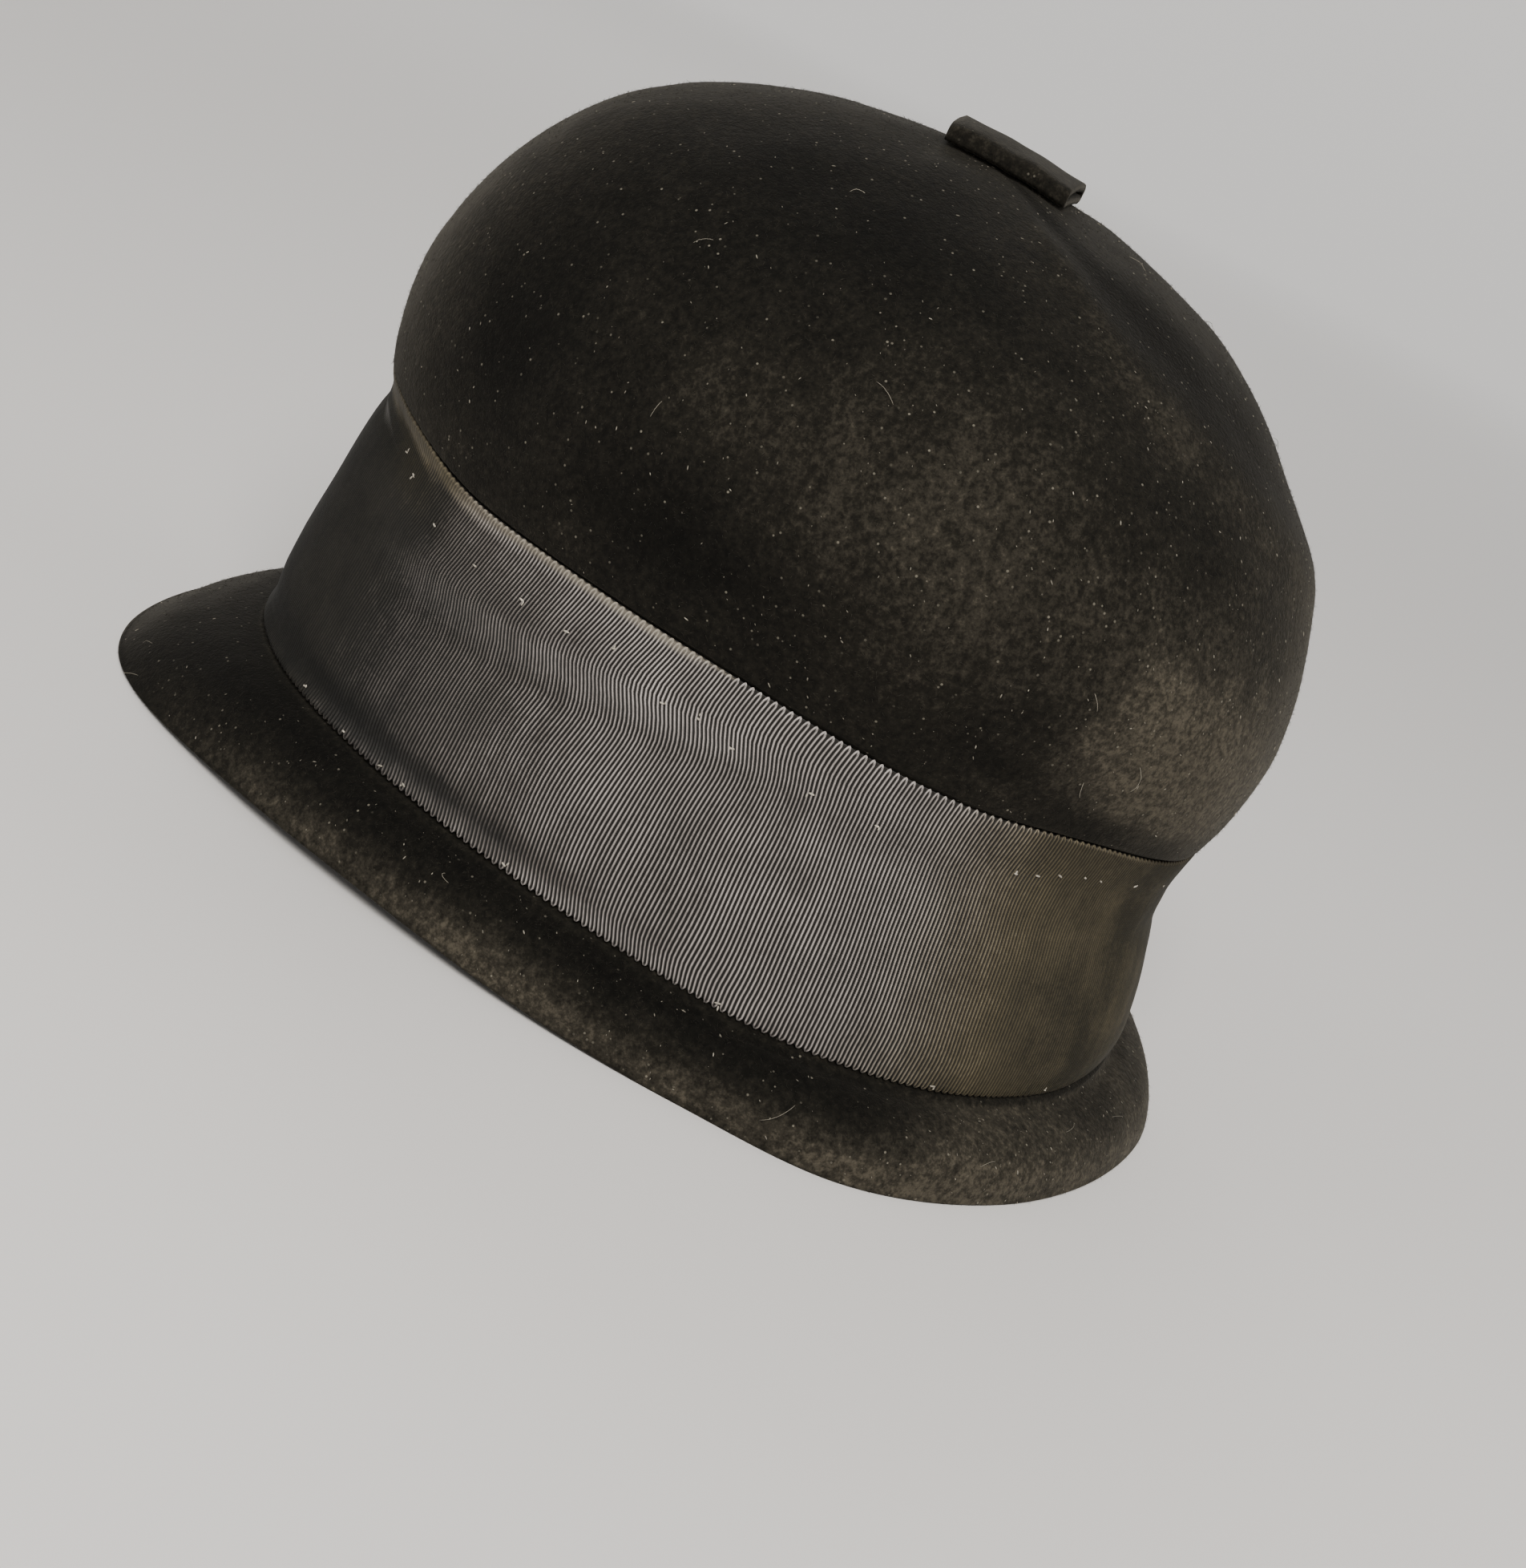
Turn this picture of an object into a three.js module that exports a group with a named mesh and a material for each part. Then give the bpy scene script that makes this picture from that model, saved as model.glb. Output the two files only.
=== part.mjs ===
// Cloche hat: a blocked felt hood with a short turned-down brim, a wide ribbon
// round the foot of the crown and a small folded felt tab on top.
// Millimetres, +Z up. The brim edge stands on z = 0, the front of the hat is at -Y,
// the wearer's left is at +X, and x = 0 is the plane of symmetry.
import * as THREE from 'three';

// ---------------------------------------------------------------- dimensions
const FELT_WALL = 2.2;        // thickness of the blocked felt
const RIBBON_THICK = 1.0;     // thickness of the ribbon
const GAP = 0.3;              // air between neighbouring pieces
const AROUND = 72;            // facets round the hat, a multiple of four
const RIBBON_LIFT = 0.06;     // ribbon edges stop this share of a row short

const BRIM_LIFT = 3.4;        // rise of the brim edge at the temples
const LIFT_END = 0.66;        // share of the length over which the edge rises and falls
const LIFT_DEAD = 0.02;       // share of the rise cut off, which leaves the tip flat

const TAB_HALF = 16;          // half the width of the tab, across the hat
const TAB_FRONT = -7.5;       // station of its folded front end
const TAB_BACK = 19.5;        // station of its open back end
const TAB_PLY = 1.9;          // thickness of each of its two plies
const TAB_SLIT = 0.6;         // space between the plies
const TAB_FOLD = 2.2;         // the front fold is rounded over this length
const TAB_STEPS = 10;         // facets across the tab
const TAB_LENGTHWISE = 6;     // facets along each ply

// Two outlines seen from above, from the centre front (turn 0) to the centre back
// (turn 10). "along" is the share of the length, "wide" the share of the half width.
// The brim is drawn in at the front and widest behind the ears; the head oval is an egg.
const OUTLINE_COLUMNS = ['brimAlong', 'brimWide', 'headAlong', 'headWide'];
const OUTLINES = [
  [0.000, 0.000, 0.000, 0.000],
  [0.014, 0.273, 0.029, 0.318],
  [0.060, 0.485, 0.113, 0.598],
  [0.152, 0.666, 0.244, 0.815],
  [0.300, 0.856, 0.409, 0.953],
  [0.468, 0.971, 0.592, 1.000],
  [0.640, 0.987, 0.718, 0.955],
  [0.780, 0.951, 0.832, 0.818],
  [0.892, 0.727, 0.922, 0.600],
  [0.968, 0.390, 0.980, 0.318],
  [1.000, 0.000, 1.000, 0.000],
].map((r) => Object.fromEntries(r.map((v, i) => [OUTLINE_COLUMNS[i], v])));

// Sections of the outer surface from the brim edge to the top of the crown.
// front, back: y of the centre front and centre back; half: half width;
// zFront, zSide, zFlank, zBack: height at 0, 1/2, 0.85 and all of the length;
// brim: 1 for the brim's outline, 0 for the head oval, and between for a blend.
// lift: share of BRIM_LIFT by which the temples rise at this section.
const SECTION_COLUMNS = ['name', 'front', 'zFront', 'half', 'zSide', 'zFlank', 'back', 'zBack', 'brim', 'lift'];
const SECTIONS = [
  ['edge',   -125.0,   0.0,  102.5,   0.0,   0.0, 125.0,   0.0, 1.0, 1.00],
  ['lip',    -121.2,   3.6,  102.2,   4.4,   4.2, 123.8,   3.8, 1.0, 1.00],
  ['turn',   -116.6,   7.6,  101.4,   8.8,   7.8, 121.6,   6.8, 0.9, 0.85],
  ['fall',   -111.8,  11.2,   99.6,  12.6,  10.4, 118.4,   9.2, 0.7, 0.60],
  ['shelf',  -107.0,  14.4,   97.0,  15.2,  12.0, 114.6,  10.8, 0.4, 0.35],
  ['root',   -101.8,  16.8,   93.6,  16.6,  12.8, 110.9,  11.8, 0.1, 0.10],
  ['foot',    -99.2,  18.6,  92.0,  18.0,  14.4, 109.7,  13.8, 0.0, 0.00],
  ['low',     -99.4,  26.5,  91.0,  25.5,  21.6, 110.0,  20.0, 0.0, 0.00],
  ['belt',    -98.2,  39.0,  90.0,  37.0,  32.0, 108.4,  28.5, 0.0, 0.00],
  ['mid',     -96.3,  52.0,  88.6,  49.5,  43.5, 106.0,  37.5, 0.0, 0.00],
  ['crease',  -94.6,  64.0,  87.2,  61.5,  55.0, 103.5,  46.0, 0.0, 0.00],
  ['pinch',   -92.5,  76.0,  87.2,  73.0,  66.5, 104.0,  57.0, 0.0, 0.00],
  ['roll1',   -94.4,  82.0,  89.2,  79.0,  72.8, 105.2,  64.0, 0.0, 0.00],
  ['roll2',   -96.0,  89.0,  91.4,  86.0,  80.0, 107.4,  72.0, 0.0, 0.00],
  ['full1',   -96.7,  96.0,  93.0,  93.5,  88.0, 108.8,  81.0, 0.0, 0.00],
  ['full2',   -96.2, 104.0,  93.6, 102.0,  97.0, 109.0,  91.0, 0.0, 0.00],
  ['dome1',   -94.2, 112.5,  92.4, 111.5, 107.0, 107.0, 102.0, 0.0, 0.00],
  ['dome2',   -90.6, 122.0,  89.0, 121.3, 117.5, 102.6, 114.0, 0.0, 0.00],
  ['dome3',   -85.0, 132.6,  82.7, 132.0, 129.0,  95.8, 126.0, 0.0, 0.00],
  ['dome4',   -77.5, 142.8,  73.4, 142.2, 139.8,  85.2, 137.4, 0.0, 0.00],
  ['dome5',   -67.3, 151.4,  61.4, 151.3, 149.6,  72.3, 148.2, 0.0, 0.00],
  ['top1',    -54.0, 158.6,  47.2, 158.8, 157.8,  57.0, 157.2, 0.0, 0.00],
  ['top2',    -38.0, 164.4,  32.2, 164.4, 163.9,  39.0, 163.4, 0.0, 0.00],
  ['top3',    -21.0, 167.6,  16.6, 167.8, 167.4,  19.0, 167.2, 0.0, 0.00],
].map((r) => Object.fromEntries(r.map((v, i) => [SECTION_COLUMNS[i], v])));
const POLE = { y: -2.0, z: 168.8 };                  // middle of the crown's top
const STATIONS = [0, 0.5, 0.85, 1];                  // where the four heights hold
const rowOf = (name) => SECTIONS.findIndex((s) => s.name === name);
const FOOT = rowOf('foot');
const PINCH = rowOf('pinch');

// ------------------------------------------------------------ outline maths
// Smooth curve through one column of OUTLINES. Past an end the column repeats
// mirrored, and a half width also changes sign there.
function outline(column, turn) {
  const last = OUTLINES.length - 1;
  const sign = column.endsWith('Wide') ? -1 : 1;
  const at = (k) => (k < 0 ? sign * OUTLINES[-k][column]
    : k > last ? sign * OUTLINES[2 * last - k][column] : OUTLINES[k][column]);
  const i = Math.min(Math.floor(turn), last - 1);
  const f = turn - i;
  const [a, b, c, d] = [at(i - 1), at(i), at(i + 1), at(i + 2)];
  return 0.5 * (2 * b + (c - a) * f + (2 * a - 5 * b + 4 * c - d) * f * f
    + (3 * b - a - 3 * c + d) * f * f * f);
}

// The cubic through the four heights of a section.
function heightAt(section, along) {
  const z = [section.zFront, section.zSide, section.zFlank, section.zBack];
  return z.reduce((sum, value, k) => sum + value * STATIONS.reduce(
    (w, s, m) => (m === k ? w : w * (along - s) / (STATIONS[k] - s)), 1), 0);
}

// The brim edge stands on its front tip and its back third, and rises at the temples.
function liftAt(along) {
  if (along >= LIFT_END) return 0;
  const wave = Math.sin(Math.PI * Math.max(along, 0) / LIFT_END) ** 2;
  return BRIM_LIFT * Math.max(0, (wave - LIFT_DEAD) / (1 - LIFT_DEAD));
}

// Section as numbers at a share of the way between two rows of the table.
function sectionAt(row) {
  const i = Math.min(Math.floor(row), SECTIONS.length - 2);
  const f = row - i;
  const mixed = {};
  for (const key of SECTION_COLUMNS.slice(1)) {
    mixed[key] = SECTIONS[i][key] * (1 - f) + SECTIONS[i + 1][key] * f;
  }
  return mixed;
}

// Point of the outer surface at a row of the table and a step round the hat.
function surfacePoint(row, step) {
  const s = sectionAt(row);
  const half = AROUND / 2;
  const k = ((step % AROUND) + AROUND) % AROUND;
  const side = k <= half ? 1 : -1;
  const turn = (k <= half ? k : AROUND - k) / half * (OUTLINES.length - 1);
  const along = s.brim * outline('brimAlong', turn) + (1 - s.brim) * outline('headAlong', turn);
  const wide = s.brim * outline('brimWide', turn) + (1 - s.brim) * outline('headWide', turn);
  return new THREE.Vector3(side * s.half * wide, s.front + (s.back - s.front) * along,
    heightAt(s, along) + s.lift * liftAt(along));
}

// Outward normal of the surface, from its neighbours.
function surfaceNormal(row, step) {
  const lower = surfacePoint(Math.max(row - 0.5, 0), step);
  const upper = surfacePoint(Math.min(row + 0.5, SECTIONS.length - 1), step);
  const left = surfacePoint(row, step - 0.5);
  const right = surfacePoint(row, step + 0.5);
  return right.sub(left).cross(upper.sub(lower)).normalize();
}

// A ring of points at a row, moved out along the normals by a distance.
function ringOf(row, distance) {
  return Array.from({ length: AROUND }, (_, step) => surfacePoint(row, step)
    .addScaledVector(surfaceNormal(row, step), distance));
}

// ------------------------------------------------------------- mesh helpers
// Closed mesh from rings of equal length: each ring joins the next, and each end
// is either joined back to the first ring, or closed on a point or by a cap.
function skinRings(rings, { closeLoop = false, startPoint, endPoint, capFaces } = {}) {
  const n = rings[0].length;
  const points = rings.flat().map((p) => p.clone());
  const index = [];
  const count = rings.length;
  for (let r = 0; r < (closeLoop ? count : count - 1); r += 1) {
    const next = (r + 1) % count;
    for (let i = 0; i < n; i += 1) {
      const j = (i + 1) % n;
      index.push(r * n + i, r * n + j, next * n + j, r * n + i, next * n + j, next * n + i);
    }
  }
  if (startPoint) {
    points.push(startPoint.clone());
    for (let i = 0; i < n; i += 1) index.push(points.length - 1, (i + 1) % n, i);
  }
  if (endPoint) {
    points.push(endPoint.clone());
    const base = (count - 1) * n;
    for (let i = 0; i < n; i += 1) index.push(points.length - 1, base + i, base + ((i + 1) % n));
  }
  if (capFaces) {
    const base = (count - 1) * n;
    for (const [a, b, c] of capFaces) index.push(a, b, c, base + a, base + c, base + b);
  }
  return meshFrom(points, index);
}

// Indexed geometry whose faces point out.
function meshFrom(points, index) {
  let volume = 0;
  for (let i = 0; i < index.length; i += 3) {
    const [a, b, c] = [points[index[i]], points[index[i + 1]], points[index[i + 2]]];
    volume += a.dot(new THREE.Vector3().crossVectors(b, c)) / 6;
  }
  if (volume < 0) {
    for (let i = 0; i < index.length; i += 3) [index[i + 1], index[i + 2]] = [index[i + 2], index[i + 1]];
  }
  const geometry = new THREE.BufferGeometry();
  geometry.setAttribute('position', new THREE.Float32BufferAttribute(points.flatMap((p) => [p.x, p.y, p.z]), 3));
  geometry.setIndex(index);
  geometry.computeVertexNormals();
  return geometry;
}

// ---------------------------------------------------------------- felt hood
// The outer skin follows the sections, drawn in under the ribbon; the inner skin
// is the same surface one wall further in. They meet in a level ring, flat at
// z = 0 at the front tip and round the back, where the hat rests.
const drawIn = (row) => (row >= FOOT && row <= PINCH ? RIBBON_THICK + GAP : 0);
const rows = SECTIONS.map((_, row) => row);
const outerRings = rows.map((row) => ringOf(row, -drawIn(row)));
const innerRings = rows.map((row) => ringOf(row, -drawIn(row) - FELT_WALL));
outerRings[0] = ringOf(0, 0);
innerRings[0] = innerRings[0].map((p, i) => {
  const up = innerRings[1][i].clone().sub(p);
  const level = outerRings[0][i].z;
  return p.clone().addScaledVector(up, (level - p.z) / up.z).setZ(level);
});

const hoodRings = [...innerRings.slice().reverse(), ...outerRings];
const feltHood = skinRings(hoodRings, {
  startPoint: new THREE.Vector3(0, POLE.y, POLE.z - FELT_WALL),
  endPoint: new THREE.Vector3(0, POLE.y, POLE.z),
});

// -------------------------------------------------------------- ribbon band
const ribbonRows = [FOOT + RIBBON_LIFT];
for (let row = FOOT + 1; row < PINCH; row += 1) ribbonRows.push(row);
ribbonRows.push(PINCH - RIBBON_LIFT);
const ribbonRings = [
  ...ribbonRows.map((row) => ringOf(row, 0)),
  ...ribbonRows.slice().reverse().map((row) => ringOf(row, -RIBBON_THICK)),
];
const ribbonBand = skinRings(ribbonRings, { closeLoop: true });

// ---------------------------------------------------------------- crown tab
// A strip of the same felt folded in two, with its fold to the front and the slit
// between its plies open to the back. It lies on the crown and follows its curve.
const hoodMesh = new THREE.Mesh(feltHood, new THREE.MeshStandardMaterial({ side: THREE.DoubleSide }));
hoodMesh.updateMatrixWorld(true);
const ray = new THREE.Raycaster();
function crownHeight(x, y) {
  ray.set(new THREE.Vector3(x + 1e-4, y + 1e-4, 400), new THREE.Vector3(0, 0, -1));
  return ray.intersectObject(hoodMesh)[0].point.z;
}

// Height of the slit above the crown is one ply; the fold rounds both plies off.
const tabTop = 2 * TAB_PLY + TAB_SLIT;
function tabOutline() {
  const stationsAlong = Array.from({ length: TAB_LENGTHWISE + 1 },
    (_, i) => TAB_BACK + (TAB_FRONT + TAB_FOLD - TAB_BACK) * i / TAB_LENGTHWISE);
  const slitEnd = TAB_FRONT + TAB_PLY;
  const slitAlong = stationsAlong.map((y) => Math.max(y, slitEnd));
  const fold = [-60, -20, 20, 60].map((deg) => {
    const a = THREE.MathUtils.degToRad(deg);
    return [TAB_FRONT + TAB_FOLD * (1 - Math.cos(a)), tabTop / 2 + tabTop / 2 * Math.sin(a)];
  });
  return [
    ...stationsAlong.map((y) => [y, 0]),
    ...fold,
    ...stationsAlong.slice().reverse().map((y) => [y, tabTop]),
    ...slitAlong.map((y) => [y, TAB_PLY + TAB_SLIT]),
    ...slitAlong.slice().reverse().map((y) => [y, TAB_PLY]),
  ];
}
const profile = tabOutline();
const tabRings = Array.from({ length: TAB_STEPS + 1 }, (_, i) => {
  const x = -TAB_HALF + 2 * TAB_HALF * i / TAB_STEPS;
  return profile.map(([y, h]) => new THREE.Vector3(x, y, crownHeight(x, y) + 2 * GAP + h));
});
const crownTab = skinRings(tabRings, {
  capFaces: THREE.ShapeUtils.triangulateShape(profile.map(([y, h]) => new THREE.Vector2(y, h)), []),
});

// ----------------------------------------------------------------- assembly
const felt = { color: 0x1b1a17, roughness: 0.95, metalness: 0.0 };
const ribbon = { color: 0x26272a, roughness: 0.7, metalness: 0.0 };
function piece(name, geometry, look) {
  const mesh = new THREE.Mesh(geometry, new THREE.MeshStandardMaterial(look));
  mesh.name = name;
  return mesh;
}

const hat = new THREE.Group();
hat.add(piece('felt_hood', feltHood, felt));
hat.add(piece('ribbon_band', ribbonBand, ribbon));
hat.add(piece('crown_tab', crownTab, felt));

export default hat;
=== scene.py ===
import math

import bmesh
import bpy
import numpy as np
from mathutils import Matrix, Vector
from mathutils.bvhtree import BVHTree


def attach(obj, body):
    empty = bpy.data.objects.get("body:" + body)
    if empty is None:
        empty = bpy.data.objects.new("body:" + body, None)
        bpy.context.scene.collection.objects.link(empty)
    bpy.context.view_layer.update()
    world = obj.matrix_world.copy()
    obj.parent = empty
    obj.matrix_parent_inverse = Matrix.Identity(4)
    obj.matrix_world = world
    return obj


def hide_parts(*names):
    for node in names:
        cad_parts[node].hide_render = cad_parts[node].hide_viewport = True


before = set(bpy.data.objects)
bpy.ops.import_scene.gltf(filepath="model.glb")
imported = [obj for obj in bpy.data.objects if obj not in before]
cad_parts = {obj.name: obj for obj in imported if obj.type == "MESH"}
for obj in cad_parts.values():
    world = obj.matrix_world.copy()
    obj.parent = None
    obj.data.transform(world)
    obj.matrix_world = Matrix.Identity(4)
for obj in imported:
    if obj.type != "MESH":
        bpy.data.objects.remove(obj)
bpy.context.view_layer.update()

MM = 0.001
PI = math.pi

# ------------------------------------------------------------------ camera
# The hat stands level and the camera is rolled, so the hat is seen from the
# wearer's left with its front tipped up, from 19 degrees above the floor.
AZ, EL, ROLL, DIST = 94.8, 19.0, 26.5, 0.530
TARGET = Vector((0.0, 0.0159, 0.0281))
a, e, r = math.radians(AZ), math.radians(EL), math.radians(ROLL)
out = Vector((math.sin(a) * math.cos(e), -math.cos(a) * math.cos(e), math.sin(e)))
fwd = -out
right = fwd.cross(Vector((0, 0, 1))).normalized()
up = right.cross(fwd)
right2 = right * math.cos(r) + up * math.sin(r)
up2 = -right * math.sin(r) + up * math.cos(r)
cam_data = bpy.data.cameras.new("camera")
cam_data.sensor_width = 36.0
cam_data.sensor_fit = "AUTO"
cam_data.lens = 36.0 * 3005.0 / 1956.0
cam_data.clip_start, cam_data.clip_end = 0.01, 100.0
camera = bpy.data.objects.new("camera", cam_data)
bpy.context.collection.objects.link(camera)
place = TARGET + out * DIST
camera.matrix_world = Matrix((
    (right2.x, up2.x, out.x, place.x),
    (right2.y, up2.y, out.y, place.y),
    (right2.z, up2.z, out.z, place.z),
    (0, 0, 0, 1)))
bpy.context.scene.camera = camera

# ------------------------------------------------------------ hat's surface
# The same tables as the construction model's, in millimetres.
OUTLINE = np.array([   # brimAlong, brimWide, headAlong, headWide
    (.000, .000, .000, .000), (.014, .273, .029, .318), (.060, .485, .113, .598),
    (.152, .666, .244, .815), (.300, .856, .409, .953), (.468, .971, .592, 1.00),
    (.640, .987, .718, .955), (.780, .951, .832, .818), (.892, .727, .922, .600),
    (.968, .390, .980, .318), (1.00, .000, 1.00, .000)])
SECTIONS = np.array([  # front, zFront, half, zSide, zFlank, back, zBack, brim, lift
    (-125.0, 0.0, 102.5, 0.0, 0.0, 125.0, 0.0, 1.0, 1.00),       # 0 edge
    (-121.2, 3.6, 102.2, 4.4, 4.2, 123.8, 3.8, 1.0, 1.00),       # 1 lip
    (-116.6, 7.6, 101.4, 8.8, 7.8, 121.6, 6.8, 0.9, 0.85),       # 2 turn
    (-111.8, 11.2, 99.6, 12.6, 10.4, 118.4, 9.2, 0.7, 0.60),     # 3 fall
    (-107.0, 14.4, 97.0, 15.2, 12.0, 114.6, 10.8, 0.4, 0.35),    # 4 shelf
    (-101.8, 16.8, 93.6, 16.6, 12.8, 110.9, 11.8, 0.1, 0.10),    # 5 root
    (-99.2, 18.6, 92.0, 18.0, 14.4, 109.7, 13.8, 0.0, 0.00),     # 6 foot
    (-99.4, 26.5, 91.0, 25.5, 21.6, 110.0, 20.0, 0.0, 0.00),     # 7 low
    (-98.2, 39.0, 90.0, 37.0, 32.0, 108.4, 28.5, 0.0, 0.00),     # 8 belt
    (-96.3, 52.0, 88.6, 49.5, 43.5, 106.0, 37.5, 0.0, 0.00),     # 9 mid
    (-94.6, 64.0, 87.2, 61.5, 55.0, 103.5, 46.0, 0.0, 0.00),     # 10 crease
    (-92.5, 76.0, 87.2, 73.0, 66.5, 104.0, 57.0, 0.0, 0.00),     # 11 pinch
    (-94.4, 82.0, 89.2, 79.0, 72.8, 105.2, 64.0, 0.0, 0.00),     # 12
    (-96.0, 89.0, 91.4, 86.0, 80.0, 107.4, 72.0, 0.0, 0.00),     # 13
    (-96.7, 96.0, 93.0, 93.5, 88.0, 108.8, 81.0, 0.0, 0.00),     # 14
    (-96.2, 104.0, 93.6, 102.0, 97.0, 109.0, 91.0, 0.0, 0.00),   # 15
    (-94.2, 112.5, 92.4, 111.5, 107.0, 107.0, 102.0, 0.0, 0.00), # 16
    (-90.6, 122.0, 89.0, 121.3, 117.5, 102.6, 114.0, 0.0, 0.00), # 17
    (-85.0, 132.6, 82.7, 132.0, 129.0, 95.8, 126.0, 0.0, 0.00),  # 18
    (-77.5, 142.8, 73.4, 142.2, 139.8, 85.2, 137.4, 0.0, 0.00),  # 19
    (-67.3, 151.4, 61.4, 151.3, 149.6, 72.3, 148.2, 0.0, 0.00),  # 20
    (-54.0, 158.6, 47.2, 158.8, 157.8, 57.0, 157.2, 0.0, 0.00),  # 21
    (-38.0, 164.4, 32.2, 164.4, 163.9, 39.0, 163.4, 0.0, 0.00),  # 22
    (-21.0, 167.6, 16.6, 167.8, 167.4, 19.0, 167.2, 0.0, 0.00)]) # 23
POLE_ROW = 24.0
FOOT, PINCH = 6.0, 11.0
FELT_WALL, RIBBON_THICK, GAP = 2.2, 1.0, 0.3
pole = np.array([[-2.0, 168.8, 0.0, 168.8, 168.8, -2.0, 168.8, 0.0, 0.0]])
mirrored = SECTIONS[-1:][:, [5, 6, 2, 3, 4, 0, 1, 7, 8]] * np.array([[1, 1, -1, 1, 1, 1, 1, 1, 1]])
below = 2 * SECTIONS[:1] - SECTIONS[1:2]
below[0, 7:] = SECTIONS[0, 7:]
ROWS = np.vstack([below, SECTIONS, pole, mirrored])


def catmull(p0, p1, p2, p3, f):
    return 0.5 * (2 * p1 + (p2 - p0) * f + (2 * p0 - 5 * p1 + 4 * p2 - p3) * f * f
                  + (3 * p1 - p0 - 3 * p2 + p3) * f ** 3)


def outline(column, turn):
    last = len(OUTLINE) - 1
    sign = -1 if column in (1, 3) else 1
    i = np.minimum(np.floor(turn).astype(int), last - 1)
    f = turn - i

    def at(k):
        flip = np.where((k < 0) | (k > last), sign, 1)
        k = np.where(k < 0, -k, np.where(k > last, 2 * last - k, k))
        return OUTLINE[k, column] * flip
    return catmull(at(i - 1), at(i), at(i + 1), at(i + 2), f)


def section(v):
    """Columns of the table at row v, smooth between rows."""
    v = np.clip(v, 0, POLE_ROW)
    i = np.minimum(np.floor(v).astype(int), 23)
    f = (v - i)[..., None]
    return catmull(ROWS[i], ROWS[i + 1], ROWS[i + 2], ROWS[i + 3], f)


def base(v, t):
    """Outer outline, in mm. v is the row, t the turn from the front, 0 to 2 pi."""
    v, t = np.broadcast_arrays(np.asarray(v, float), np.asarray(t, float))
    s = section(v)
    t = np.mod(t, 2 * PI)
    side = np.where(t <= PI, 1.0, -1.0)
    turn = np.where(t <= PI, t, 2 * PI - t) / PI * 10
    b = np.clip(s[..., 7], 0, 1)
    along = b * outline(0, turn) + (1 - b) * outline(2, turn)
    wide = b * outline(1, turn) + (1 - b) * outline(3, turn)
    stations = (0.0, 0.5, 0.85, 1.0)
    z = 0.0
    for k, column in enumerate((1, 3, 4, 6)):
        w = 1.0
        for m, other in enumerate(stations):
            if m != k:
                w = w * (along - other) / (stations[k] - other)
        z = z + s[..., column] * w
    wave = np.sin(PI * np.clip(along, 0, 0.66) / 0.66) ** 2
    z = z + np.clip(s[..., 8], 0, 1) * 3.4 * np.maximum(0, (wave - 0.02) / 0.98)
    return np.stack([side * s[..., 2] * wide, s[..., 0] + (s[..., 5] - s[..., 0]) * along, z], -1)


def normal(v, t):
    v, t = np.broadcast_arrays(np.asarray(v, float), np.asarray(t, float))
    lo, hi = np.clip(v - 0.12, 0, 23.9), np.clip(v + 0.12, 0.12, 23.9)
    dv = base(hi, t) - base(lo, t)
    dt = base(np.minimum(v, 23.9), t + 0.01) - base(np.minimum(v, 23.9), t - 0.01)
    n = np.cross(dt, dv)
    return n / np.maximum(np.linalg.norm(n, axis=-1, keepdims=True), 1e-12)


def smooth(x, lo, hi):
    x = np.clip((x - lo) / (hi - lo), 0, 1)
    return x * x * (3 - 2 * x)


def bump(x, centre, width):
    return np.exp(-((x - centre) / width) ** 2)


# Smooth 3-D noise from a seeded lattice, the same each run.
LATTICE = np.random.default_rng(7).random((64, 64, 64)) * 2 - 1


def noise(p, size, seed=0):
    q = p / size + np.array([17.3, 5.1, 9.7]) * (seed + 1)
    i = np.floor(q).astype(int)
    f = q - i
    f = f * f * f * (f * (f * 6 - 15) + 10)
    total = 0.0
    for dx in (0, 1):
        for dy in (0, 1):
            for dz in (0, 1):
                w = ((f[..., 0] if dx else 1 - f[..., 0]) * (f[..., 1] if dy else 1 - f[..., 1])
                     * (f[..., 2] if dz else 1 - f[..., 2]))
                total = total + w * LATTICE[(i[..., 0] + dx) % 64, (i[..., 1] + dy) % 64, (i[..., 2] + dz) % 64]
    return total


def deg(t):
    """Turn in degrees from the front, 0 to 180 on either side."""
    d = np.degrees(np.mod(t, 2 * PI))
    return np.where(d > 180, 360 - d, d)


# Upper edge of the ribbon, by row: it stands up against the crown at the front
# and round the back, and runs straighter over the ears.
TOP_EDGE = np.array([  # turn in degrees, row
    (0, 11.85), (24, 11.85), (33, 11.72), (40, 11.38), (46, 11.12), (62, 11.18), (75, 11.08), (88, 10.96),
    (104, 10.92), (118, 11.00), (126, 11.30), (133, 11.65), (142, 11.85), (160, 11.92), (180, 11.92)])


half_turn = np.arange(-60, 241, 1.0)
folded = np.abs(half_turn)
folded = np.where(folded > 180, 360 - folded, folded)
kernel = np.exp(-(np.arange(-18, 19) / 6.0) ** 2)
smoothed = np.convolve(np.interp(folded, TOP_EDGE[:, 0], TOP_EDGE[:, 1]), kernel / kernel.sum(), "same")


def top_edge(t):
    return np.interp(deg(t), half_turn, smoothed)


# --------------------------------------------------------------- felt shape
RIDGE = np.array([  # turn in degrees, row: the rim of the flattened upper back
    (104, 22.3), (112, 21.6), (122, 20.7), (132, 20.1), (141, 19.7), (150, 19.3), (158, 18.9), (168, 18.4), (180, 18.1)])


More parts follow.
